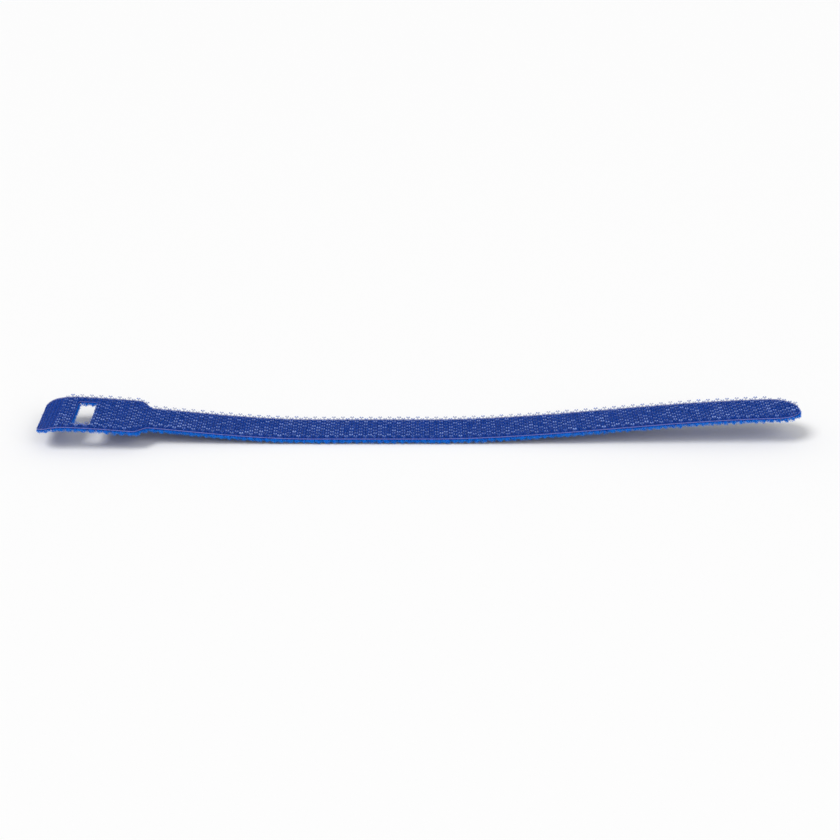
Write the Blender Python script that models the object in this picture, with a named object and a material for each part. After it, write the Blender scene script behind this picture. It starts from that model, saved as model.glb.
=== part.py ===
"""Hook and loop cable tie, die-cut from two tapes that are bonded back to back.

The tie lies on its loops with its hooks up. +X runs from the slotted head to the rounded
tip, +Y across the tie and +Z up. The origin is on the surface that the tie lies on, under the
middle of its length and width. Sizes are in metres.
"""

import math

import bmesh
import bpy

# The outline, seen from above
TIE_LENGTH = 0.200
TAIL_WIDTH = 0.0125
TIP_LENGTH = 0.0065  # the tip is half an ellipse this long
TIP_NOSE = 0.0015  # half width of the blunt nose, where the ellipse is cut off
HEAD_LENGTH = 0.029
HEAD_WIDTH = 0.020
HEAD_CORNER = 0.003
SHOULDER_LENGTH = 0.004

# The slot in the head, which the tail is threaded through
SLOT_INSET = 0.00875  # from the head's end to the slot
SLOT_LENGTH = 0.005
SLOT_WIDTH = 0.0145
SLOT_CORNER = 0.00075

# The two tapes
LOOP_THICKNESS = 0.0010  # knitted ground with its brushed loops
PILE_ROUND = 0.0004  # round lower edge of the loops
BOND_GAP = 0.0003
FILM_THICKNESS = 0.0002
HOOK_PITCH = 0.00125
HOOK_HEIGHT = 0.0009
HOOK_FOOT = 0.00034
HOOK_SPREAD = 0.00092  # a hook is wider here, at its top
HOOK_ARM = 0.00022
HOOK_NOTCH = 0.00045  # depth of the notch between a hook's two arms
BARE_END = 0.005  # the film has no hooks from the head's end to here

# How it lies: flat in the middle, its two ends lifted and the head's own end curled down
HEAD_RISE_LENGTH = 0.072
HEAD_LIFT = 0.0050
TAIL_RISE_LENGTH = 0.098
TAIL_LIFT = 0.0060
HEAD_CURL_LENGTH = 0.0080
HEAD_CURL = 0.0014

# How finely curved edges and the bend are divided
ARC_STEPS = 6  # steps in a quarter turn of the outline
EDGE_STEPS = 3  # steps round the lower edge of the pile
BEND_STEP = 0.0025
CLOSEST = 0.00002  # stations nearer than this are made one
CUTTER_REACH = 0.002  # how far the slot's cutter passes both faces

LOOP_BLUE = (0.004, 0.075, 0.50)
LOOP_ROUGHNESS = 0.9
HOOK_CLEAR = (0.62, 0.64, 0.80)
HOOK_ROUGHNESS = 0.35

HEAD_END = -TIE_LENGTH / 2
TIP_END = TIE_LENGTH / 2
FILM_BOTTOM = LOOP_THICKNESS + BOND_GAP
FILM_TOP = FILM_BOTTOM + FILM_THICKNESS


def smooth(share):
    """An S-shaped rise from 0 to 1, level at both ends."""
    share = min(max(share, 0.0), 1.0)
    return share * share * (3 - 2 * share)


def lift(x):
    """Height of the tie's underside above the surface, at x."""
    head_share = (HEAD_END + HEAD_RISE_LENGTH - x) / HEAD_RISE_LENGTH
    tail_share = (x - TIP_END + TAIL_RISE_LENGTH) / TAIL_RISE_LENGTH
    curl_share = max(0.0, 1 - (x - HEAD_END) / HEAD_CURL_LENGTH)
    rise = HEAD_LIFT * smooth(head_share) + TAIL_LIFT * smooth(tail_share)
    return rise - HEAD_CURL * curl_share**2


def half_width(x):
    """Half the tie's width at x: round head corners, S-shaped shoulders, elliptical tip."""
    from_head = x - HEAD_END
    from_tip = TIP_END - x
    if from_head < HEAD_CORNER:
        short = HEAD_CORNER - from_head
        return HEAD_WIDTH / 2 - HEAD_CORNER + math.sqrt(HEAD_CORNER**2 - short**2)
    if from_tip < TIP_LENGTH:
        nose = TIP_NOSE / (TAIL_WIDTH / 2)
        along = 1 - from_tip / TIP_LENGTH
        return TAIL_WIDTH / 2 * math.sqrt(1 - along**2 * (1 - nose**2))
    narrowing = smooth((from_head - HEAD_LENGTH + SHOULDER_LENGTH) / SHOULDER_LENGTH)
    return HEAD_WIDTH / 2 - narrowing * (HEAD_WIDTH - TAIL_WIDTH) / 2


def evenly(start, end, count):
    return [start + (end - start) * i / count for i in range(count)]


def by_step(start, end, step):
    return evenly(start, end, max(1, round((end - start) / step)))


def loop_stations():
    """Places along the tie where the loop tape has a cross-section."""
    quarter = [math.pi / 2 * i / ARC_STEPS for i in range(ARC_STEPS)]
    edge = [PILE_ROUND * (1 - math.cos(a)) for a in quarter]
    corner = [HEAD_CORNER * (1 - math.cos(a)) for a in quarter]
    tip = [TIP_LENGTH * math.sin(a) for a in quarter]
    shoulder = HEAD_END + HEAD_LENGTH - SHOULDER_LENGTH
    tail = HEAD_END + HEAD_LENGTH
    lead = HEAD_END + HEAD_RISE_LENGTH
    rise = TIP_END - TAIL_RISE_LENGTH
    places = [HEAD_END + d for d in edge + corner]
    places += by_step(HEAD_END + HEAD_CORNER, shoulder, BEND_STEP)
    places += evenly(shoulder, tail, ARC_STEPS)
    places += by_step(tail, lead, BEND_STEP)
    places += [lead]
    places += by_step(rise, TIP_END - TIP_LENGTH, BEND_STEP)
    places += [TIP_END - TIP_LENGTH + d for d in tip]
    places += [TIP_END - d for d in edge]
    places.sort()
    kept = places[:1]
    for x in places[1:-1]:
        if x - kept[-1] > CLOSEST and places[-1] - x > CLOSEST:
            kept.append(x)
    return kept + places[-1:]


def edge_rise(inset):
    """Height of the round lower edge at a distance in from the side of the pile."""
    short = max(0.0, PILE_ROUND - inset)
    return PILE_ROUND - math.sqrt(PILE_ROUND**2 - short**2)


def loop_section(x):
    """Cross-section of the loop tape at x: flat on top, with round lower edges."""
    half = half_width(x)
    end_rise = edge_rise(min(x - HEAD_END, TIP_END - x))
    angles = [math.pi / 2 * i / EDGE_STEPS for i in range(EDGE_STEPS + 1)]
    insets = [PILE_ROUND * (1 - math.cos(a)) for a in angles]
    lower = [(half - inset, max(edge_rise(inset), end_rise)) for inset in insets]
    right = [(half, LOOP_THICKNESS)] + lower
    left = [(-y, z) for y, z in reversed(right)]
    return [(x, y, lift(x) + z) for y, z in right + left]


def loop_mesh():
    """The loop tape, lofted through its cross-sections and closed at both ends."""
    shape = bmesh.new()
    rings = [[shape.verts.new(p) for p in loop_section(x)] for x in loop_stations()]
    for ring, after in zip(rings, rings[1:]):
        for i in range(len(ring)):
            j = (i + 1) % len(ring)
            shape.faces.new((ring[i], ring[j], after[j], after[i]))
    shape.faces.new(rings[0])
    shape.faces.new(rings[-1])
    return shape


def hook_outline(centre):
    """One ridge of hooks seen from the side: two arms that spread from a narrow foot."""
    foot = HOOK_FOOT / 2
    outer = HOOK_SPREAD / 2
    inner = outer - HOOK_ARM
    top = FILM_TOP + HOOK_HEIGHT
    half = [(foot, FILM_TOP), (outer, top), (inner, top)]
    left = [(centre - x, z) for x, z in half]
    right = [(centre + x, z) for x, z in reversed(half)]
    return left + [(centre, top - HOOK_NOTCH)] + right


def hook_mesh():
    """The film with a ridge of hooks in each pitch past its bare end, all carried across the
    tie's width."""
    shape = bmesh.new()

    def across(x, z):
        """The two vertices where a line across the tie meets its two cut edges."""
        half = half_width(x)
        height = lift(x) + z
        return [shape.verts.new((x, side * half, height)) for side in (-1, 1)]

    def skin(first, second):
        shape.faces.new((first[0], second[0], second[1], first[1]))

    def wall(outline):
        for side in (0, 1):
            shape.faces.new([pair[side] for pair in outline])

    ridges = round(TIE_LENGTH / HOOK_PITCH)
    pitch = TIE_LENGTH / ridges
    start_low = across(HEAD_END, FILM_BOTTOM)
    start_high = across(HEAD_END, FILM_TOP)
    skin(start_low, start_high)
    for ridge in range(ridges):
        begin = HEAD_END + ridge * pitch
        centre = begin + pitch / 2
        left_foot = centre - HOOK_FOOT / 2
        right_foot = centre + HOOK_FOOT / 2
        bare = centre < HEAD_END + BARE_END
        outline = hook_outline(centre)
        if bare:
            outline = [outline[0], outline[-1]]
        profile = [across(x, z) for x, z in outline]
        low = [start_low] + [across(x, FILM_BOTTOM) for x in (left_foot, right_foot)]
        low.append(across(begin + pitch, FILM_BOTTOM))
        end_high = across(begin + pitch, FILM_TOP)
        high = [start_high] + profile + [end_high]
        for first, second in zip(low, low[1:]):
            skin(first, second)
        for first, second in zip(high, high[1:]):
            skin(first, second)
        wall([low[0], low[1], profile[0], start_high])
        wall([low[1], low[2], profile[-1], profile[0]])
        wall([low[2], low[3], end_high, profile[-1]])
        if not bare:
            wall([profile[0], profile[1], profile[2], profile[3]])
            wall([profile[0], profile[3], profile[-1]])
            wall([profile[3], profile[4], profile[5], profile[6]])
        start_low, start_high = low[-1], end_high
    skin(start_low, start_high)
    return shape


def slot_mesh():
    """A prism with round corners that stands through the head, where the slot is cut."""
    shape = bmesh.new()
    middle = HEAD_END + SLOT_INSET + SLOT_LENGTH / 2
    reach_x = SLOT_LENGTH / 2 - SLOT_CORNER
    reach_y = SLOT_WIDTH / 2 - SLOT_CORNER
    corners = ((1, 1), (-1, 1), (-1, -1), (1, -1))
    outline = []
    for quarter, (sx, sy) in enumerate(corners):
        for step in range(ARC_STEPS + 1):
            angle = math.pi / 2 * (quarter + step / ARC_STEPS)
            x = middle + sx * reach_x + SLOT_CORNER * math.cos(angle)
            y = sy * reach_y + SLOT_CORNER * math.sin(angle)
            outline.append((x, y))
    lowest = lift(middle) - CUTTER_REACH
    highest = lift(middle) + FILM_TOP + HOOK_HEIGHT + CUTTER_REACH
    base = shape.faces.new([shape.verts.new((x, y, lowest)) for x, y in outline])
    raised = bmesh.ops.extrude_face_region(shape, geom=[base])["geom"]
    moved = [item for item in raised if isinstance(item, bmesh.types.BMVert)]
    bmesh.ops.translate(shape, vec=(0, 0, highest - lowest), verts=moved)
    return shape


def add_object(name, shape):
    bmesh.ops.recalc_face_normals(shape, faces=shape.faces[:])
    mesh = bpy.data.meshes.new(name)
    shape.to_mesh(mesh)
    shape.free()
    obj = bpy.data.objects.new(name, mesh)
    bpy.context.scene.collection.objects.link(obj)
    return obj


def cut_slot(obj, cutter):
    cut = obj.modifiers.new("slot", "BOOLEAN")
    cut.operation = "DIFFERENCE"
    cut.object = cutter


def give_material(obj, name, colour, roughness):
    material = bpy.data.materials.new(name)
    material.use_nodes = True
    shader = material.node_tree.nodes["Principled BSDF"]
    shader.inputs["Base Color"].default_value = (*colour, 1.0)
    shader.inputs["Roughness"].default_value = roughness
    shader.inputs["Metallic"].default_value = 0.0
    obj.data.materials.append(material)


def build():
    for obj in list(bpy.data.objects):
        bpy.data.objects.remove(obj, do_unlink=True)

    cutter = add_object("slot_cutter", slot_mesh())
    cutter.hide_render = True
    cutter.display_type = "WIRE"

    loop_tape = add_object("loop_tape", loop_mesh())
    give_material(loop_tape, "blue_loop_fabric", LOOP_BLUE, LOOP_ROUGHNESS)
    cut_slot(loop_tape, cutter)

    hook_tape = add_object("hook_tape", hook_mesh())
    give_material(hook_tape, "clear_moulded_nylon", HOOK_CLEAR, HOOK_ROUGHNESS)
    cut_slot(hook_tape, cutter)


build()
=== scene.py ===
"""The looks of a hook and loop cable tie: clear moulded hooks on a film, bonded to a blue
knitted ground whose brushed loops hang below it. The tie lies on its loops with both ends a
little lifted. Metres, +Z up.
"""
import math

import bpy
import numpy as np
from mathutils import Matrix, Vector


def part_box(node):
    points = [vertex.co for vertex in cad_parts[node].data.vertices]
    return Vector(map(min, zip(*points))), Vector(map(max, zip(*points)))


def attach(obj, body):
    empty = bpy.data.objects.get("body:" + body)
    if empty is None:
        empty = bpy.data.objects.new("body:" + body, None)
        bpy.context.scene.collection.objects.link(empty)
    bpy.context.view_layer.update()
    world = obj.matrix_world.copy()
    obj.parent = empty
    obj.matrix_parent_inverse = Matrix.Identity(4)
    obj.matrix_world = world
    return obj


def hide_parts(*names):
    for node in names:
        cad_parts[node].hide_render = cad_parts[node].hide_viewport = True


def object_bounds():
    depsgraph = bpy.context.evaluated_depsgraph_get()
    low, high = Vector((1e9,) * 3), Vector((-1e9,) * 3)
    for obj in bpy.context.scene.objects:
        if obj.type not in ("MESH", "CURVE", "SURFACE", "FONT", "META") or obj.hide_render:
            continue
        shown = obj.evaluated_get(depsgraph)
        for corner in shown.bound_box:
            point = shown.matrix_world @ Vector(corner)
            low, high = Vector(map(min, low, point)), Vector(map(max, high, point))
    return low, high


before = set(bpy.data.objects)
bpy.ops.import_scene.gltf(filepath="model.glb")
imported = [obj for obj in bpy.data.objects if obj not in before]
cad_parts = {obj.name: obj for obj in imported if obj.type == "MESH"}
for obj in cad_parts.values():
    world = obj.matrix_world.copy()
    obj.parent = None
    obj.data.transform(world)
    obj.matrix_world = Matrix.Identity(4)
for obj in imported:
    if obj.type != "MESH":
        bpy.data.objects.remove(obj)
cad_low, cad_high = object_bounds()

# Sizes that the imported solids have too
HEAD_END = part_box("loop_tape")[0].x
TIP_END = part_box("loop_tape")[1].x
HEAD_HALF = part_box("loop_tape")[1].y
TAIL_HALF = 0.00625
HEAD_LENGTH = 0.029
HEAD_CORNER = 0.003
SHOULDER_LENGTH = 0.004
TIP_LENGTH = 0.0065
TIP_NOSE = 0.0015
SLOT_MIDDLE = HEAD_END + 0.01125
SLOT_HALF_LENGTH = 0.0025
SLOT_HALF_WIDTH = 0.00725
SLOT_CORNER = 0.00075
HEAD_RISE_LENGTH = 0.072
HEAD_LIFT = 0.0050
TAIL_RISE_LENGTH = 0.098
TAIL_LIFT = 0.0060
HEAD_CURL_LENGTH = 0.0080
HEAD_CURL = 0.0014

# Heights of the layers above the underside
GROUND_LOW = 0.00098
GROUND_HIGH = 0.00128
FILM_LOW = 0.00130
FILM_HIGH = 0.00150

# The tie cups a little across its width: its cut edges are this much higher in the tail
CUP = 0.00012

# Hooks
HOOK_HEIGHT = 0.0009
HOOK_STATION = 0.00125  # rows take turns at these stations, so a row has one at every second
HOOK_ROWS = 22  # across the head, so that an outer row stands just inside each cut edge
HOOK_EDGE = 0.00022
HOOK_ROW_PITCH = 2 * (HEAD_HALF - HOOK_EDGE) / (HOOK_ROWS - 1)
HOOK_FOOT_HALF_Y = 0.00016
HOOK_TOP_HALF_Y = 0.00014
HOOK_ROOT = 0.00003  # depth of a hook's foot inside the film
HOOK_MARGIN = 0.00002  # least distance from a hook's foot to a cut edge
BARE_END = 0.005  # the film has no hooks from the head's end to here
HOOK_TURN = 0.05  # spread of the angle by which hooks are turned, in radians
HOOK_LEAN_ALONG = 0.05
HOOK_LEAN_ACROSS = 0.04
HOOK_SIZE_SPREAD = 0.03
TALLEST_HOOK = 1.04  # in shares of the usual height
CRUSHED_SHARE = 0.03  # of the hooks
CRUSHED_LEAN = 0.3
CROWN_MEAN = 0.86  # how milky a hook is at its top: partly milky nylon and partly a painted highlight, which the spread makes brighter on some hooks
CROWN_SPREAD = 0.16
ARM_HALF = 0.15  # half an arm's thickness at its foot, in shares of the hook's height
ARM_TAPER = 0.08  # how much of that is gone at its tip

# Loops of the whole underside
STITCH_ALONG = 0.000985
STITCH_ACROSS = 0.00090
STITCH_MARGIN = 0.00012  # least distance from a stitch's middle to a cut edge
STITCH_SCATTER = 0.00016
TUFT_PITCH = 2 * STITCH_ALONG
PINCH = 0.55  # the share of its depth that the pile loses at the head's very end
FILAMENT_RADIUS = 0.00003
LOOPS_PER_STITCH = 4
LOOP_POINTS = 5
LOOP_GATHERING = 0.3
COMBED_SHARE = 0.6  # of the loops, the ones that lean towards the tip
COMBED_SPREAD = 0.45  # in radians
LOOP_SPAN_LEAST = 0.0002
LOOP_SPAN_MOST = 0.0009
LOOP_SWAY = 0.00018
LOOP_DRIFT = 0.00025  # mean shift of a loop's lowest point towards the tip
LOOP_DRIFT_SPREAD = 0.00015
LOOP_DEPTH = (0.25, 0.30, 0.43)  # least share of the pile, what chance adds, what tufts add
LOOP_TUFT_POWER = 0.5  # below 1, so that most loops of a tuft are nearly as long as it lets

# More loops in a band along the cut edges
BORDER = 0.0020
BORDER_PEAK = 0.0001  # the band is densest this far from the edge
BORDER_LOOPS_PER_M = 14000
BORDER_POINTS = 6

# Loops that bulge out of the cut edges
EDGE_LOOPS_PER_M = 15500
EDGE_POINTS = 7
EDGE_GATHERING = 0.5
EDGE_GAP = 0.00001  # from the ground's wall to where such a loop starts
EDGE_SPAN = 0.00045
EDGE_FALL = 0.0002  # mean drop from a loop's start to its end
EDGE_FALL_SPREAD = 0.00015
EDGE_SWAY = 0.00012  # spread of the sway along the edge
EDGE_HEAVE = 0.00004  # mean of the sway up and down
EDGE_HEAVE_SPREAD = 0.00008
EDGE_BULGE = (3.0, 0.00006)  # shape and scale of the gamma distribution of the bulge
EDGE_BULGE_BETWEEN = 1.15  # what the bulge is multiplied by between the tufts
EDGE_BULGE_FALL = 0.3  # how much less that is in the middle of a tuft
EDGE_DEPTH = (0.10, 0.28, 0.60)  # as LOOP_DEPTH
EDGE_TUFT_POWER = 0.6  # as LOOP_TUFT_POWER
EDGE_LEAN = 0.15  # shift towards the tip, in shares of a loop's depth
EDGE_LEAN_TUFT = 0.35  # what a tuft adds to it
EDGE_LEAN_SPREAD = 0.12
EDGE_ROOT_PAINTED_LIGHT = 0.45  # painted shade: how bright such a loop is at its ends, where it leaves the ground
EDGE_SHADE = 0.3  # painted shade: how much darker a loop can be in the middle of a tuft

# How finely curves are divided
ARC_POINTS = 9  # in a quarter turn of the outline
SLOT_POINTS = 121  # round the slot
SLOT_PASSES = 4  # steps that bring a point onto the slot's outline
SLOT_MARGIN = 0.001  # the slot's edge lies within its half width plus this of its middle
LIFT_STEP = 1e-4  # steps over which slopes and directions are taken
SLOT_STEP = 1e-6
EDGE_STEP = 1e-5
SHARP_EDGE = math.radians(50)

rng = np.random.default_rng(7)


def smooth(share):
    """An S-shaped rise from 0 to 1: three squares less two cubes of the share."""
    share = np.clip(share, 0.0, 1.0)
    return share * share * (3 - 2 * share)


def curled(x):
    """1 at the head's very end, falling evenly to 0 where the curl begins."""
    return np.clip(1 - (x - HEAD_END) / HEAD_CURL_LENGTH, 0.0, 1.0)


def lift(x):
    """Height of the underside at x: an S-shaped rise towards the head and one towards the tip,
    less a curl at the head's end that grows with the square of the share of its length."""
    head = HEAD_LIFT * smooth((HEAD_END + HEAD_RISE_LENGTH - x) / HEAD_RISE_LENGTH)
    tail = TAIL_LIFT * smooth((x - TIP_END + TAIL_RISE_LENGTH) / TAIL_RISE_LENGTH)
    return head + tail - HEAD_CURL * curled(x) ** 2


def half_width(x):
    """Half the width at x: a quarter circle at the head's corners, an S at the shoulders and a
    quarter ellipse at the tip, cut off at the nose."""
    from_head = np.clip(x - HEAD_END, 0.0, None)
    along = np.clip(1 - (TIP_END - x) / TIP_LENGTH, 0.0, 1.0)
    short = np.clip(HEAD_CORNER - from_head, 0.0, None)
    corner = HEAD_CORNER - np.sqrt(HEAD_CORNER**2 - short**2)
    narrowing = smooth((from_head - HEAD_LENGTH + SHOULDER_LENGTH) / SHOULDER_LENGTH)
    side = HEAD_HALF - narrowing * (HEAD_HALF - TAIL_HALF) - corner
    return side * np.sqrt(1 - along**2 * (1 - (TIP_NOSE / TAIL_HALF) ** 2))


def bed(x, y):
    """Height of the tie's underside: its lift, and a shallow cup that grows with the square of
    the distance from the centre line."""
    return lift(x) + CUP * (y / TAIL_HALF) ** 2


def into_slot(x, y):
    """How far a point lies inside the slot's rounded rectangle; below 0 it is outside."""
    over_x = np.abs(x - SLOT_MIDDLE) - (SLOT_HALF_LENGTH - SLOT_CORNER)
    over_y = np.abs(y) - (SLOT_HALF_WIDTH - SLOT_CORNER)
    outside = np.hypot(np.clip(over_x, 0, None), np.clip(over_y, 0, None))
    return SLOT_CORNER - outside - np.minimum(np.maximum(over_x, over_y), 0)


def on_tape(x, y, inset):
    """True where a point of the tape is at least inset away from every cut edge."""
    x_in = np.clip(x, HEAD_END, TIP_END)
    inside = (x > HEAD_END + inset) & (x < TIP_END - inset)
    return inside & (np.abs(y) < half_width(x_in) - inset) & (into_slot(x, y) < -inset)


# Meshes


def piece(name, points, faces, material, sharp_angle=None):
    """A mesh object from arrays: points is (n, 3), and faces a list of arrays of equal rows."""
    mesh = bpy.data.meshes.new(name)
    loops = np.concatenate([f.ravel() for f in faces]).astype(np.int32)
    sizes = np.concatenate([np.full(len(f), f.shape[1]) for f in faces]).astype(np.int32)
    mesh.vertices.add(len(points))
    mesh.vertices.foreach_set("co", np.asarray(points, np.float32).ravel())
    mesh.loops.add(len(loops))
    mesh.loops.foreach_set("vertex_index", loops)
    mesh.polygons.add(len(sizes))
    mesh.polygons.foreach_set("loop_start", np.concatenate([[0], np.cumsum(sizes)[:-1]]))
    mesh.update(calc_edges=True)
    mesh.validate()
    mesh.shade_smooth()
    if sharp_angle is not None:
        mesh.set_sharp_from_angle(angle=sharp_angle)
    mesh.materials.append(material)
    obj = bpy.data.objects.new(name, mesh)
    bpy.context.scene.collection.objects.link(obj)
    return obj


def attribute(obj, name, values):
    """One number a point, kept on the mesh for a material to read."""
    layer = obj.data.attributes.new(name, "FLOAT", "POINT")
    layer.data.foreach_set("value", np.asarray(values, np.float32))


def stations(step_head, step_tail):
    """Places along the tie: close together round the head's corners and the tip."""
    quarter = np.linspace(0, np.pi / 2, ARC_POINTS)
    corner = HEAD_END + HEAD_CORNER * (1 - np.cos(quarter))
    tip = TIP_END - TIP_LENGTH + TIP_LENGTH * np.sin(quarter)
    neck = HEAD_END + HEAD_LENGTH
    head = np.arange(corner[-1] + step_head, neck, step_head)
    tail = np.linspace(neck, tip[0], round((tip[0] - neck) / step_tail))
    return np.concatenate([corner, head, tail, tip[1:]])


def flat_sheet(step_head, step_tail, across):
    """The outline as a grid of quads with the slot left out: x runs along the stations and y
    is a share of the half width. The slot's stepped edge is then moved onto its true outline."""
    x = stations(step_head, step_tail)
    share = np.linspace(-1, 1, across + 1)
    grid_x = np.repeat(x, across + 1)
    grid_y = (half_width(x)[:, None] * share[None, :]).ravel()
    corner = (np.arange(len(x) - 1)[:, None] * (across + 1) + np.arange(across)).ravel()
    quads = np.stack([corner, corner + across + 1, corner + across + 2, corner + 1], axis=1)
    middle_x, middle_y = grid_x[quads].mean(1), grid_y[quads].mean(1)
    quads = quads[into_slot(middle_x, middle_y) < 0]
    flat = np.stack([grid_x, grid_y], axis=1)
    rim = np.unique(edge_of(quads))
    from_slot = np.hypot(flat[rim, 0] - SLOT_MIDDLE, flat[rim, 1])
    near = rim[from_slot < SLOT_HALF_WIDTH + SLOT_MARGIN]
    flat[near] = onto_slot(flat[near])
    used, quads = np.unique(quads, return_inverse=True)
    return flat[used], quads.reshape(-1, 4)


def onto_slot(flat):
    """The nearest points on the slot's rounded rectangle: steps along the slope of into_slot,
    each as long as the depth over the slope. A slope under a half counts as a half."""
    for _ in range(SLOT_PASSES):
        x, y = flat[:, 0], flat[:, 1]
        depth = into_slot(x, y)
        slope_x = (into_slot(x + SLOT_STEP, y) - depth) / SLOT_STEP
        slope_y = (into_slot(x, y + SLOT_STEP) - depth) / SLOT_STEP
        steep = np.maximum(slope_x**2 + slope_y**2, 0.5**2)
        flat = flat - np.stack([slope_x * depth / steep, slope_y * depth / steep], axis=1)
    return flat


def edge_of(quads):
    """The edges that only one quad has, each in that quad's own direction."""
    ends = np.concatenate([quads[:, [k, (k + 1) % 4]] for k in range(4)])
    _, index, count = np.unique(
        np.sort(ends, axis=1), axis=0, return_inverse=True, return_counts=True
    )
    return ends[count[index.ravel()] == 1]


def slab(name, flat, quads, low, high, material):
    """A closed layer of the tape: the flat sheet at two heights above the bed, and a wall
    round every cut edge."""
    height = bed(flat[:, 0], flat[:, 1])
    top = np.column_stack([flat, height + high])
    bottom = np.column_stack([flat, height + low])
    ends = edge_of(quads)
    count = len(flat)
    walls = np.column_stack([ends[:, 1], ends[:, 0], ends[:, 0] + count, ends[:, 1] + count])
    faces = np.concatenate([quads, quads[:, ::-1] + count, walls])
    return piece(name, np.concatenate([top, bottom]), [faces], material, SHARP_EDGE)


def tubes(name, lines, radius, material, painted_light_share):
    """Thin closed tubes of three sides: lines is (tubes, points, 3), and each ring stands
    square to its line. The last argument, one value a point, is painted light for the colour,
    darker near the ground and brighter further out, and is kept as an attribute."""
    tangent = np.gradient(lines, axis=1)
    tangent /= np.linalg.norm(tangent, axis=2, keepdims=True)
    chord = lines[:, -1] - lines[:, 0]
    level = np.cross(chord, [0.0, 0.0, 1.0])
    level += 1e-9  # so that a chord straight down has a side too
    level /= np.linalg.norm(level, axis=1, keepdims=True)
    side = level[:, None, :] - (tangent * level[:, None, :]).sum(2, keepdims=True) * tangent
    side /= np.linalg.norm(side, axis=2, keepdims=True)
    up = np.cross(tangent, side)
    count, rings = lines.shape[:2]
    angle = 2 * np.pi * np.arange(3) / 3
    thick = np.broadcast_to(radius, (count, rings))[:, :, None, None]
    around = np.cos(angle)[:, None] * side[:, :, None, :]
    around = around + np.sin(angle)[:, None] * up[:, :, None, :]
    points = (lines[:, :, None, :] + thick * around).reshape(-1, 3)
    ring, turn = np.meshgrid(np.arange(rings - 1), np.arange(3), indexing="ij")
    here, there = ring * 3 + turn, ring * 3 + (turn + 1) % 3
    wall = np.stack([here, there, there + 3, here + 3], axis=2).reshape(-1, 4)
    caps = np.array([[2, 1, 0], [rings * 3 - 3, rings * 3 - 2, rings * 3 - 1]])
    offset = (np.arange(count) * rings * 3)[:, None, None]
    faces = [(wall[None] + offset).reshape(-1, 4), (caps[None] + offset).reshape(-1, 3)]
    obj = piece(name, points, faces, material)
    attribute(obj, "painted_light_share", np.repeat(painted_light_share.ravel(), 3))
    return obj


# Materials

# The scales of noises are in turns a metre
BROAD_MOTTLE = 260.0
FINE_MOTTLE = 1900.0
HAZE_SCALE = 700.0
HAZE_DETAIL = 3.0
HAZE_STRETCH = (0.35, 1.0, 1.0)
HAZE_DULLING = 0.25
COURSE_SWING = 0.35  # how far the height of a stitch swings along the tie, and across it
WALE_SWING = 0.6
STITCH_RELIEF = 0.00012
RAIL_RELIEF = 0.00004
RAIL_SHARPNESS = 3.0  # the power that makes the rails narrow
CROWN_SHARPNESS = 2.4  # the power that keeps the milkiness near a hook's top


def group(name, inputs, outputs):
    """An empty shader group with its sockets, and its input and output nodes."""
    tree = bpy.data.node_groups.new(name, "ShaderNodeTree")
    for label, kind, value in inputs:
        socket = tree.interface.new_socket(label, in_out="INPUT", socket_type=kind)
        socket.default_value = value
    for label, kind in outputs:
        tree.interface.new_socket(label, in_out="OUTPUT", socket_type=kind)
    return tree, tree.nodes.new("NodeGroupInput"), tree.nodes.new("NodeGroupOutput")


def math_node(tree, operation, *values, clamp=False):
    """One step of arithmetic, on values that are sockets or numbers."""
    node = tree.nodes.new("ShaderNodeMath")
    node.operation = operation
    node.use_clamp = clamp
    for socket, value in zip(node.inputs, values):
        if isinstance(value, (int, float)):
            socket.default_value = value
        else:
            tree.links.new(value, socket)
    return node.outputs[0]


def mix_colour(tree, share, first, second):
    """The first colour at a share of 0 and the second at 1, each a socket or a value."""
    node = tree.nodes.new("ShaderNodeMix")
    node.data_type = "RGBA"
    colours = [s for s in node.inputs if s.type == "RGBA"]
    for socket, value in zip([node.inputs["Factor"], *colours], (share, first, second)):
        if isinstance(value, (int, float, tuple)):
            socket.default_value = value
        else:
            tree.links.new(value, socket)
    return next(s for s in node.outputs if s.type == "RGBA")


def noise(tree, scale, detail=2.0, stretch=(1.0, 1.0, 1.0)):
    """Noise on the object's own coordinates, with scale in turns a metre."""
    place = tree.nodes.new("ShaderNodeTexCoord")
    mapping = tree.nodes.new("ShaderNodeMapping")
    mapping.inputs["Scale"].default_value = stretch
    cloud = tree.nodes.new("ShaderNodeTexNoise")
    cloud.inputs["Scale"].default_value = scale
    cloud.inputs["Detail"].default_value = detail
    tree.links.new(place.outputs["Object"], mapping.inputs["Vector"])
    tree.links.new(mapping.outputs["Vector"], cloud.inputs["Vector"])
    return cloud.outputs["Fac"]


def dye_and_light_group():
    """Mottled dye with painted light: two noises, one of a few millimetres and one of single
    stitches, that pull the colour from its deep to its bright shade. Lightness, which the materials
    feed with painted light and painted shade, sets the middle of that pull."""
    tree, start, end = group(
        "mottled_dye_and_painted_light",
        [
            ("Deep", "NodeSocketColor", (0, 0, 0, 1)),
            ("Bright", "NodeSocketColor", (1, 1, 1, 1)),
            ("Lightness", "NodeSocketFloat", 0.5),
            ("Mottle", "NodeSocketFloat", 0.3),
        ],
        [("Colour", "NodeSocketColor")],
    )
    broad = math_node(tree, "SUBTRACT", noise(tree, BROAD_MOTTLE), 0.5)
    fine = math_node(tree, "SUBTRACT", noise(tree, FINE_MOTTLE), 0.5)
    both = math_node(tree, "ADD", broad, fine)
    pull = math_node(tree, "MULTIPLY", both, start.outputs["Mottle"])
    share = math_node(tree, "ADD", start.outputs["Lightness"], pull, clamp=True)
    colour = mix_colour(tree, share, start.outputs["Deep"], start.outputs["Bright"])
    tree.links.new(colour, end.inputs["Colour"])
    return tree


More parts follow.
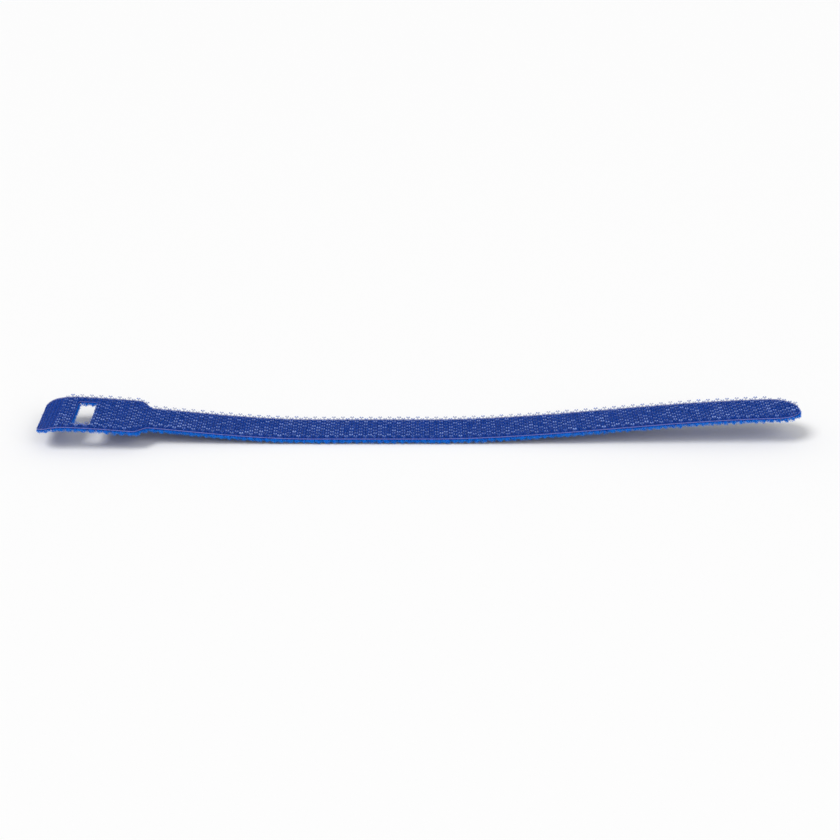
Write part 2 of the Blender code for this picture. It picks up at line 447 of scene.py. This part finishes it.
def stitch_group():
    """Rows of knitted stitches: a wave along the tie whose phase bends with the distance
    across, so that each stitch is a V, times a wave across the tie for the wales."""
    tree, start, end = group(
        "knitted_stitches",
        [("Along", "NodeSocketFloat", 1020.0), ("Across", "NodeSocketFloat", 1110.0)],
        [("Height", "NodeSocketFloat")],
    )
    place = tree.nodes.new("ShaderNodeTexCoord")
    split = tree.nodes.new("ShaderNodeSeparateXYZ")
    tree.links.new(place.outputs["Object"], split.inputs[0])
    wale = math_node(tree, "MULTIPLY", split.outputs["Y"], start.outputs["Across"])
    bend = math_node(tree, "PINGPONG", wale, 0.5)
    course = math_node(tree, "MULTIPLY", split.outputs["X"], start.outputs["Along"])
    phase = math_node(tree, "ADD", course, bend)
    turn = math_node(tree, "MULTIPLY", phase, 2 * math.pi)
    stitch = math_node(tree, "SINE", turn)
    rib = math_node(tree, "SINE", math_node(tree, "MULTIPLY", bend, 2 * math.pi))
    courses = math_node(tree, "MULTIPLY_ADD", stitch, COURSE_SWING, 0.5)
    wales = math_node(tree, "MULTIPLY_ADD", rib, WALE_SWING, 1 - WALE_SWING)
    height = math_node(tree, "MULTIPLY", courses, wales)
    tree.links.new(height, end.inputs["Height"])
    return tree


def haze_group():
    """Haze of moulded nylon: noise stretched along the tie that makes it a little milkier or
    clearer, and with that a little duller or glossier."""
    tree, start, end = group(
        "moulding_haze",
        [
            ("Clear", "NodeSocketColor", (0.1, 0.2, 0.6, 1)),
            ("Milky", "NodeSocketColor", (0.5, 0.5, 0.8, 1)),
            ("Milkiness", "NodeSocketFloat", 0.5),
            ("Unevenness", "NodeSocketFloat", 0.4),
            ("Gloss", "NodeSocketFloat", 0.3),
        ],
        [("Colour", "NodeSocketColor"), ("Roughness", "NodeSocketFloat")],
    )
    streaks = noise(tree, HAZE_SCALE, HAZE_DETAIL, HAZE_STRETCH)
    streak = math_node(tree, "SUBTRACT", streaks, 0.5)
    pull = math_node(tree, "MULTIPLY", streak, start.outputs["Unevenness"])
    share = math_node(tree, "ADD", start.outputs["Milkiness"], pull, clamp=True)
    colour = mix_colour(tree, share, start.outputs["Clear"], start.outputs["Milky"])
    tree.links.new(colour, end.inputs["Colour"])
    spread = math_node(tree, "MULTIPLY", streak, HAZE_DULLING)
    roughness = math_node(tree, "ADD", start.outputs["Gloss"], spread, clamp=True)
    tree.links.new(roughness, end.inputs["Roughness"])
    return tree


def material(name, roughness):
    """A new material with its Principled shader."""
    made = bpy.data.materials.new(name)
    made.use_nodes = True
    shader = made.node_tree.nodes["Principled BSDF"]
    shader.inputs["Roughness"].default_value = roughness
    return made, made.node_tree, shader


def place_group(tree, shared, **values):
    """A shader group put to use in a material, with the given values on its sockets."""
    node = tree.nodes.new("ShaderNodeGroup")
    node.node_tree = shared
    for label, value in values.items():
        node.inputs[label].default_value = value
    return node


def bump(tree, height, shader, distance, strength=1.0):
    """Relief on a material: distance is how many metres a height of 1 stands above 0."""
    node = tree.nodes.new("ShaderNodeBump")
    node.inputs["Distance"].default_value = distance
    node.inputs["Strength"].default_value = strength
    tree.links.new(height, node.inputs["Height"])
    tree.links.new(node.outputs["Normal"], shader.inputs["Normal"])


DYE_AND_PAINTED_LIGHT = dye_and_light_group()
STITCHES = stitch_group()
HAZE = haze_group()

# Ground colours: painted shade in the hollows between the stitches, and the stitch tops
GROUND_HOLLOW_SHADE_BLUE = (0.001, 0.016, 0.15, 1)
GROUND_STITCH_TOP_BLUE = (0.002, 0.072, 0.48, 1)
# Pile colours: painted shade where a filament leaves the ground, and a painted glow of light
# through it where it stands out
PILE_ROOT_SHADE_BLUE = (0.001, 0.062, 0.62, 1)
PILE_TIP_GLOW_BLUE = (0.010, 0.29, 1.0, 1)
# Film colours: the blue in both is painted light from the blue ground under the clear film
FILM_CLEAR_BLUE_BOUNCE = (0.01, 0.07, 0.46, 1)
FILM_MILKY_BLUE_BOUNCE = (0.20, 0.22, 0.60, 1)
FILM_FACE_COVER = 0.10
FILM_RIM_COVER = 0.85
# Hook colours: the blue in both is painted light from the blue tape under the clear nylon
HOOK_CLEAR_BLUE_BOUNCE = (0.015, 0.09, 0.46, 1)
HOOK_MILKY_BLUE_BOUNCE = (0.34, 0.49, 0.98, 1)
HOOK_FOOT_COVER = 0.22
HOOK_CROWN_COVER = 0.85


def filament_material():
    """Nylon filaments with painted light in their colour: painted shade, deep blue, where they
    leave the ground, and a painted glow, brighter, where they stand out.
    """
    made, tree, shader = material("blue_loop_filaments", 0.55)
    painted_light_share = tree.nodes.new("ShaderNodeAttribute")
    painted_light_share.attribute_name = "painted_light_share"
    dye_and_light = place_group(tree, DYE_AND_PAINTED_LIGHT, Deep=PILE_ROOT_SHADE_BLUE, Bright=PILE_TIP_GLOW_BLUE, Mottle=0.45)
    tree.links.new(painted_light_share.outputs["Fac"], dye_and_light.inputs["Lightness"])
    tree.links.new(dye_and_light.outputs["Colour"], shader.inputs["Base Color"])
    shader.inputs["Sheen Weight"].default_value = 0.25
    shader.inputs["Sheen Roughness"].default_value = 0.4
    shader.inputs["Sheen Tint"].default_value = (0.15, 0.5, 1.0, 1)
    shader.inputs["Specular IOR Level"].default_value = 0.15
    return made


def ground_material():
    """The knitted ground: stitches in relief, with painted shade that makes it darker between them.
    """
    made, tree, shader = material("blue_knitted_ground", 0.85)
    stitches = place_group(tree, STITCHES, Along=1 / STITCH_ALONG, Across=1 / STITCH_ACROSS)
    dye_and_light = place_group(tree, DYE_AND_PAINTED_LIGHT, Deep=GROUND_HOLLOW_SHADE_BLUE, Bright=GROUND_STITCH_TOP_BLUE, Mottle=0.25)
    # painted shade: the stitch height darkens the colour between the stitches
    tree.links.new(stitches.outputs["Height"], dye_and_light.inputs["Lightness"])
    tree.links.new(dye_and_light.outputs["Colour"], shader.inputs["Base Color"])
    shader.inputs["Specular IOR Level"].default_value = 0.05
    shader.inputs["Sheen Weight"].default_value = 0.05
    shader.inputs["Sheen Tint"].default_value = (0.2, 0.4, 1.0, 1)
    bump(tree, stitches.outputs["Height"], shader, STITCH_RELIEF)
    return made


def film_material():
    """The clear film: the ground shows through its faces, and its cut edges are milky. The blue in
    its colours is painted light from the blue ground under it. A low rail runs along under each row
    of hooks."""
    made, tree, shader = material("clear_film", 0.3)
    shader.inputs["Specular IOR Level"].default_value = 0.3
    facing = tree.nodes.new("ShaderNodeNewGeometry")
    split = tree.nodes.new("ShaderNodeSeparateXYZ")
    tree.links.new(facing.outputs["True Normal"], split.inputs[0])
    level = math_node(tree, "ABSOLUTE", split.outputs["Z"])
    rim = math_node(tree, "SUBTRACT", 1.0, level)
    haze = place_group(tree, HAZE, Clear=FILM_CLEAR_BLUE_BOUNCE, Milky=FILM_MILKY_BLUE_BOUNCE, Unevenness=0.9, Gloss=0.28)
    tree.links.new(rim, haze.inputs["Milkiness"])
    tree.links.new(haze.outputs["Colour"], shader.inputs["Base Color"])
    tree.links.new(haze.outputs["Roughness"], shader.inputs["Roughness"])
    more = FILM_RIM_COVER - FILM_FACE_COVER
    cover = math_node(tree, "MULTIPLY_ADD", rim, more, FILM_FACE_COVER)
    tree.links.new(cover, shader.inputs["Alpha"])
    place = tree.nodes.new("ShaderNodeTexCoord")
    side = tree.nodes.new("ShaderNodeSeparateXYZ")
    tree.links.new(place.outputs["Object"], side.inputs[0])
    rail = math_node(tree, "MULTIPLY", side.outputs["Y"], 1 / HOOK_ROW_PITCH)
    rail = math_node(tree, "PINGPONG", rail, 0.5)
    rail = math_node(tree, "MULTIPLY", rail, 2.0)
    rail = math_node(tree, "POWER", rail, RAIL_SHARPNESS)
    bump(tree, rail, shader, RAIL_RELIEF, strength=0.8)
    return made


def hook_material():
    """The moulded hooks: clear at the foot and milkier towards the crown, each a little
    different from the next. The milky crowns are partly a painted highlight, and the blue of both
    colours is painted light from the blue tape under the clear nylon."""
    made, tree, shader = material("moulded_hooks", 0.3)
    crown = tree.nodes.new("ShaderNodeAttribute")
    crown.attribute_name = "crown"
    rise = math_node(tree, "POWER", crown.outputs["Fac"], CROWN_SHARPNESS)
    haze = place_group(tree, HAZE, Clear=HOOK_CLEAR_BLUE_BOUNCE, Milky=HOOK_MILKY_BLUE_BOUNCE, Unevenness=0.3, Gloss=0.2)
    tree.links.new(rise, haze.inputs["Milkiness"])
    tree.links.new(haze.outputs["Colour"], shader.inputs["Base Color"])
    tree.links.new(haze.outputs["Roughness"], shader.inputs["Roughness"])
    more = HOOK_CROWN_COVER - HOOK_FOOT_COVER
    cover = math_node(tree, "MULTIPLY_ADD", rise, more, HOOK_FOOT_COVER)
    tree.links.new(cover, shader.inputs["Alpha"])
    shader.inputs["IOR"].default_value = 1.5
    return made


# The hook tape


def arm_centre(t):
    """Middle line of a hook's right arm, seen from the side: a cubic curve that leans out of
    the foot, rises to the top and turns down to its tip. In shares of the hook's height."""
    corners = np.array([(0.05, 0.0), (0.10, 0.78), (0.38, 1.20), (0.54, 0.58)])
    t = np.asarray(t)[:, None]
    weights = np.concatenate([(1 - t) ** 3, 3 * t * (1 - t) ** 2, 3 * t**2 * (1 - t), t**3], axis=1)
    return weights @ corners


def arm_side(t, sign):
    """One side of the arm: its middle line moved out by half its thickness, which falls
    evenly from the foot to the tip."""
    t = np.asarray(t, float)
    step = 0.01
    ahead = arm_centre(np.minimum(t + step, 1)) - arm_centre(np.maximum(t - step, 0))
    ahead /= np.linalg.norm(ahead, axis=1, keepdims=True)
    square = np.stack([ahead[:, 1], -ahead[:, 0]], axis=1)
    half = ARM_HALF - ARM_TAPER * t
    return arm_centre(t) + sign * half[:, None] * square


def hook_outline():
    """A whole hook from the side, anticlockwise: foot, right arm, notch and left arm. The
    inner side of the arm ends where it meets that of the other arm."""
    below = arm_side([1.0, 0.82, 0.62, 0.36, 0.12], 1)[::-1]
    above = arm_side(np.linspace(1.0, 0.2, 81), -1)
    meet = int(np.argmax(above[:, 0] <= 0))
    above = above[np.linspace(0, meet, 9).astype(int)]
    notch = np.array([[0.0, above[-1, 1]]])
    foot = np.array([[0.30, -HOOK_ROOT / HOOK_HEIGHT], [0.25, 0.03]])
    right = np.concatenate([foot, below, above[:-1]])
    left = right[::-1] * [-1, 1]
    return np.concatenate([right, notch, left]) * HOOK_HEIGHT


def hook_places():
    """Feet of the hooks: rows along the tie whose stations are staggered from row to row,
    kept past the bare end and where the whole foot is on the tape."""
    count = round((TIP_END - HEAD_END) / HOOK_STATION)
    row, station = np.meshgrid(np.arange(HOOK_ROWS), np.arange(count), indexing="ij")
    keep = (row + station) % 2 == 0
    x = HEAD_END + (station[keep] + 0.5) * HOOK_STATION
    y = (row[keep] - (HOOK_ROWS - 1) / 2) * HOOK_ROW_PITCH
    kept = on_tape(x, y, HOOK_FOOT_HALF_Y + HOOK_MARGIN) & (x > HEAD_END + BARE_END)
    return x[kept], y[kept]


def add_hooks(material_used):
    """Every hook is the same outline carried across its row, a little narrower at its top,
    then turned, leaned and stretched by a small amount of its own."""
    outline = hook_outline()
    sides = len(outline)
    share = np.clip(outline[:, 1] / HOOK_HEIGHT, 0, 1)
    half_y = HOOK_FOOT_HALF_Y + share * (HOOK_TOP_HALF_Y - HOOK_FOOT_HALF_Y)
    front = np.column_stack([outline[:, 0], -half_y, outline[:, 1]])
    back = front * [1, -1, 1]
    shape = np.concatenate([front, back])
    x, y = hook_places()
    count = len(x)
    turn = rng.normal(0, HOOK_TURN, count)[:, None]
    lean_x = rng.normal(0, HOOK_LEAN_ALONG, count)
    lean_y = rng.normal(0, HOOK_LEAN_ACROSS, count)
    size = rng.normal(1, HOOK_SIZE_SPREAD, count)
    crushed = rng.random(count) < CRUSHED_SHARE
    lean_x[crushed] += rng.normal(0, CRUSHED_LEAN, crushed.sum())
    px = shape[None, :, 0] * np.cos(turn) - shape[None, :, 1] * np.sin(turn)
    py = shape[None, :, 0] * np.sin(turn) + shape[None, :, 1] * np.cos(turn)
    pz = shape[None, :, 2] * np.minimum(size, TALLEST_HOOK)[:, None]
    px = px + pz * lean_x[:, None]
    py = py + pz * lean_y[:, None]
    slope = (lift(x + LIFT_STEP) - lift(x - LIFT_STEP)) / (2 * LIFT_STEP)
    turned_x = px - pz * slope[:, None]
    turned_z = pz + px * slope[:, None]
    base = bed(x, y) + FILM_HIGH
    points = np.stack([x[:, None] + turned_x, y[:, None] + py, base[:, None] + turned_z], axis=2)
    k = np.arange(sides)
    after = (k + 1) % sides
    walls = np.stack([k, after, after + sides, k + sides], axis=1)[:, ::-1]
    caps = np.stack([k, k[::-1] + sides])
    offset = (np.arange(count) * 2 * sides)[:, None, None]
    faces = [(walls[None] + offset).reshape(-1, 4), (caps[None] + offset).reshape(-1, sides)]
    obj = piece("hooks", points.reshape(-1, 3), faces, material_used, SHARP_EDGE)
    # milkiness of each crown, partly real and partly a painted highlight that is brighter on some
    # hooks
    milkiness_and_highlight = rng.normal(CROWN_MEAN, CROWN_SPREAD, count)[:, None]
    crown = np.concatenate([share, share])[None, :] * milkiness_and_highlight
    attribute(obj, "crown", np.clip(crown, 0, 1).ravel())
    return obj


# The loop tape


def stitches():
    """Middles of the stitches that carry loops: a staggered lattice on the tape."""
    columns = round((TIP_END - HEAD_END) / STITCH_ALONG)
    rows = round(2 * HEAD_HALF / STITCH_ACROSS)
    row, column = np.meshgrid(np.arange(rows), np.arange(columns), indexing="ij")
    x = HEAD_END + (column + 0.25 + 0.5 * (row % 2)).ravel() * STITCH_ALONG
    y = ((row + 0.5).ravel() - rows / 2) * STITCH_ACROSS
    kept = on_tape(x, y, STITCH_MARGIN)
    return x[kept], y[kept]


def loop_lines(start, chord, dip, sway, points):
    """Filaments that leave the ground, hang down and come back: the chord is walked evenly,
    the dip follows half a sine wave and the sway a whole one."""
    t = np.linspace(0, 1, points)
    arch = np.sin(np.pi * t)
    swing = np.sin(2 * np.pi * t)
    line = start[:, None, :] + chord[:, None, :] * t[None, :, None]
    line = line + dip[:, None, :] * arch[None, :, None] + sway[:, None, :] * swing[None, :, None]
    return line, np.broadcast_to(arch, line.shape[:2])


def level_vectors(angle, length):
    """Vectors without a rise, each turned from the tie's direction by its angle."""
    return np.column_stack([np.cos(angle) * length, np.sin(angle) * length, np.zeros_like(angle)])


def tuft_turn(x):
    """The place among the tufts as an angle: whole turns are the middles of the tufts."""
    return 2 * np.pi * (x - HEAD_END) / TUFT_PITCH - 0.5 * np.pi


def crest(x):
    """1 in the middle of a tuft and 0 halfway to the next: a cosine along the tie."""
    return 0.5 + 0.5 * np.cos(tuft_turn(x))


def pinched(x):
    """Share of its full depth that the pile has at x: 1, less the pinch times the cube of how
    far the head's end is curled there."""
    return 1 - PINCH * curled(x) ** 3


def gathering(x, share):
    """Shift along the tie towards the middle of the nearest tuft: a sine of the place in the
    tuft, times a share that makes loops that much denser in its middle."""
    return -share * TUFT_PITCH / (2 * np.pi) * np.sin(tuft_turn(x))


def hanging_loops(x, y, points):
    """Brushed loops that hang from the ground at the given places, most of them combed towards
    the tip, the longest in the tufts, and all above the surface that the tie lies on."""
    count = len(x)
    combed = rng.random(count) < COMBED_SHARE
    towards_tip = rng.normal(0, COMBED_SPREAD, count)
    angle = np.where(combed, towards_tip, rng.uniform(-np.pi, np.pi, count))
    chord = level_vectors(angle, rng.uniform(LOOP_SPAN_LEAST, LOOP_SPAN_MOST, count))
    sway = level_vectors(angle + np.pi / 2, rng.normal(0, LOOP_SWAY, count))
    least, by_chance, by_tuft = LOOP_DEPTH
    share = least + by_chance * rng.random(count)
    share = share + by_tuft * crest(x) * rng.random(count) ** LOOP_TUFT_POWER
    depth = share * (GROUND_LOW - FILAMENT_RADIUS) * pinched(x)
    dip = level_vectors(np.zeros(count), rng.normal(LOOP_DRIFT, LOOP_DRIFT_SPREAD, count))
    start = np.column_stack([x, y, np.full(count, GROUND_LOW)])
    dip[:, 2] = -depth
    line, arch = loop_lines(start, chord, dip, sway, points)
    # painted light for the colour: painted shade at a loop's ends, brighter towards its lowest
    # point, and more so the deeper the loop
    return line, arch * (depth / GROUND_LOW)[:, None]


def stitch_loops():
    """The loops of the whole underside: a few to each stitch."""
    x, y = (np.repeat(a, LOOPS_PER_STITCH) for a in stitches())
    x = x + rng.normal(0, STITCH_SCATTER, len(x))
    y = y + rng.normal(0, STITCH_SCATTER, len(y))
    return hanging_loops(x + gathering(x, LOOP_GATHERING), y, LOOP_POINTS)


def border_loops():
    """More loops along the cut edges, where the brush has pulled them out: most at the edge,
    and evenly fewer to the inner side of the border."""
    place, _, out = cut_edge(BORDER_LOOPS_PER_M)
    place = place - out * rng.triangular(BORDER_PEAK, BORDER_PEAK, BORDER, (len(place), 1))
    return hanging_loops(place[:, 0], place[:, 1], BORDER_POINTS)


def slot_outline():
    """Points round the slot: those of a squarish oval, moved onto the slot's outline."""
    angle = np.linspace(0, 2 * np.pi, SLOT_POINTS)
    squareness = 0.35
    ring_x = np.abs(np.cos(angle)) ** squareness * np.sign(np.cos(angle)) * SLOT_HALF_LENGTH
    ring_y = np.abs(np.sin(angle)) ** squareness * np.sign(np.sin(angle)) * SLOT_HALF_WIDTH
    return onto_slot(np.column_stack([SLOT_MIDDLE + ring_x, ring_y]))


def cut_edge(per_metre):
    """Random points, evenly dense along every cut edge, with the edge's own direction and
    the one out of the tape."""
    x = stations(step_head=0.0005, step_tail=0.001)
    right = np.column_stack([x, half_width(x)])
    outline = np.concatenate([right, right[::-1] * [1, -1], right[:1]])
    found = []
    for line in (outline, slot_outline()):
        step = np.linalg.norm(np.diff(line, axis=0), axis=1)
        along = np.concatenate([[0], np.cumsum(step)])
        at = np.sort(rng.uniform(0, along[-1], round(per_metre * along[-1])))
        place = np.column_stack([np.interp(at, along, line[:, k]) for k in (0, 1)])
        next_at = at + EDGE_STEP
        after = np.column_stack([np.interp(next_at, along, line[:, k]) for k in (0, 1)])
        ahead = after - place
        length = np.linalg.norm(ahead, axis=1, keepdims=True)
        ahead /= np.maximum(length, 1e-12)  # not 0, for a point at the very end of the line
        out = np.column_stack([-ahead[:, 1], ahead[:, 0]])
        found.append((place, ahead, out))
    return [np.concatenate(parts) for parts in zip(*found)]


def edge_loops():
    """Loops that bulge out of the cut edges, from the ground down to the ends of the pile.
    Those of a tuft are long and lean towards the tip, and the ones between are short."""
    place, ahead, out = cut_edge(EDGE_LOOPS_PER_M)
    count = len(place)
    place = place + ahead * (gathering(place[:, 0], EDGE_GATHERING) * ahead[:, 0])[:, None]
    tuft = crest(place[:, 0])
    high = rng.uniform(GROUND_LOW, GROUND_HIGH - FILAMENT_RADIUS, count)
    start = np.column_stack([place + out * EDGE_GAP, high])
    span = rng.normal(0, EDGE_SPAN, (count, 1))
    chord = np.column_stack([ahead * span, rng.normal(-EDGE_FALL, EDGE_FALL_SPREAD, count)])
    bulge = rng.gamma(*EDGE_BULGE, count) * (EDGE_BULGE_BETWEEN - EDGE_BULGE_FALL * tuft)
    least, by_chance, by_tuft = EDGE_DEPTH
    share = least + by_chance * rng.random(count)
    share = share + by_tuft * tuft * rng.random(count) ** EDGE_TUFT_POWER
    depth = share * (high - FILAMENT_RADIUS) * pinched(place[:, 0])
    dip = np.column_stack([out * bulge[:, None], -depth])
    dip[:, 0] += depth * rng.normal(EDGE_LEAN + EDGE_LEAN_TUFT * tuft, EDGE_LEAN_SPREAD)
    along = rng.normal(0, EDGE_SWAY, (count, 1))
    sway = np.column_stack([ahead * along, rng.normal(EDGE_HEAVE, EDGE_HEAVE_SPREAD, count)])
    line, arch = loop_lines(start, chord, dip, sway, EDGE_POINTS)
    line[:, :, 2] = np.maximum(line[:, :, 2], FILAMENT_RADIUS)
    # painted shade: loops are darker, by chance, in the middle of a tuft
    shade = 1.0 - EDGE_SHADE * tuft * rng.random(count)
    # painted light for the colour: painted shade at a loop's ends, brighter where it bulges out
    return line, (EDGE_ROOT_PAINTED_LIGHT + (1 - EDGE_ROOT_PAINTED_LIGHT) * arch) * shade[:, None]


def laid_on_bed(line):
    """Heights above the underside turned into heights above the surface that the tie lies on."""
    x = np.clip(line[..., 0], HEAD_END, TIP_END)
    line[..., 2] += bed(x, line[..., 1])
    return line


def add_loops(kind, found, material_used):
    """Loops of one kind in two pieces, by their place along the tie."""
    line, painted_light_share = found
    order = np.argsort(line[:, 0, 0])
    made = []
    for end, chosen in zip(("head", "tip"), np.array_split(order, 2)):
        rows = laid_on_bed(line[chosen])
        made.append(tubes(f"{kind}_{end}", rows, FILAMENT_RADIUS, material_used, painted_light_share[chosen]))
    return made


# The stage

FLOOR_HALF = 3.0
FLOOR_PALE = (0.80, 0.80, 0.80, 1)  # what the floor throws back onto the tie
FLOOR_WHITE = (0.985, 0.985, 0.985, 1)  # what the camera sees
CAMERA_ELEVATION = math.radians(24)
CAMERA_LENS = 85.0
CAMERA_SENSOR = 36.0
TIE_SHARE = 0.90  # of the picture's width
WORLD_LEVEL = 0.46
KEY_LEVEL = 0.40
FILL_LEVEL = 0.14


def add_floor():
    """A pale plane that ends far outside the view. It is white to the camera, and to
    reflections and whatever is seen through something clear."""
    made, tree, shader = material("pale_floor", 0.9)
    rays = tree.nodes.new("ShaderNodeLightPath").outputs
    seen = math_node(tree, "ADD", rays["Is Camera Ray"], rays["Is Glossy Ray"])
    seen = math_node(tree, "ADD", seen, rays["Is Transmission Ray"], clamp=True)
    pale = mix_colour(tree, seen, FLOOR_PALE, FLOOR_WHITE)
    tree.links.new(pale, shader.inputs["Base Color"])
    shader.inputs["Specular IOR Level"].default_value = 0.1
    points = FLOOR_HALF * np.array([(-1, -1, 0), (1, -1, 0), (1, 1, 0), (-1, 1, 0)])
    floor = piece("floor", points, [np.array([[0, 1, 2, 3]])], made)


def add_light(name, towards, spread, level):
    """A far, broad lamp that is seen towards a point from the tie. Its level is the brightness
    that it alone gives to a level white surface."""
    lamp = bpy.data.lights.new(name, "SUN")
    way = Vector(towards).normalized()
    lamp.angle = math.radians(spread)
    lamp.energy = level * math.pi / way.z
    obj = bpy.data.objects.new(name, lamp)
    obj.location = way
    obj.rotation_euler = (-way).to_track_quat("-Z", "Y").to_euler()
    bpy.context.scene.collection.objects.link(obj)


def add_camera():
    """Looks along +Y at the tie's long edge, as from a seat at a table."""
    middle = (cad_low + cad_high) / 2
    distance = (cad_high.x - cad_low.x) / TIE_SHARE / CAMERA_SENSOR * CAMERA_LENS
    camera = bpy.data.cameras.new("camera")
    camera.lens, camera.sensor_width = CAMERA_LENS, CAMERA_SENSOR
    obj = bpy.data.objects.new("camera", camera)
    back = Vector((0, -math.cos(CAMERA_ELEVATION), math.sin(CAMERA_ELEVATION)))
    obj.location = middle + back * distance
    obj.rotation_euler = (-back).to_track_quat("-Z", "Y").to_euler()
    bpy.context.scene.collection.objects.link(obj)
    bpy.context.scene.camera = obj


def add_world():
    """Even white light from all round."""
    world = bpy.data.worlds.new("room")
    world.use_nodes = True
    background = world.node_tree.nodes["Background"]
    background.inputs["Color"].default_value = (1, 1, 1, 1)
    background.inputs["Strength"].default_value = WORLD_LEVEL
    bpy.context.scene.world = world


flat, quads = flat_sheet(step_head=0.00035, step_tail=0.0010, across=20)
film = slab("film", flat, quads, FILM_LOW, FILM_HIGH, film_material())
ground = slab("knitted_ground", flat, quads, GROUND_LOW, GROUND_HIGH, ground_material())
hooks = add_hooks(hook_material())
filaments = filament_material()
pile = add_loops("stitch_loops", stitch_loops(), filaments)
pile += add_loops("border_loops", border_loops(), filaments)
pile += add_loops("edge_loops", edge_loops(), filaments)

for obj in [film, hooks]:
    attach(obj, "root")
    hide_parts("hook_tape")
for obj in [ground] + pile:
    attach(obj, "root")
    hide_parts("loop_tape")

add_floor()
add_light("key", towards=(-0.45, -0.25, 0.8), spread=30, level=KEY_LEVEL)
add_light("fill", towards=(0.6, -0.7, 0.6), spread=40, level=FILL_LEVEL)
add_world()
add_camera()
bpy.context.scene.view_settings.view_transform = "Standard"
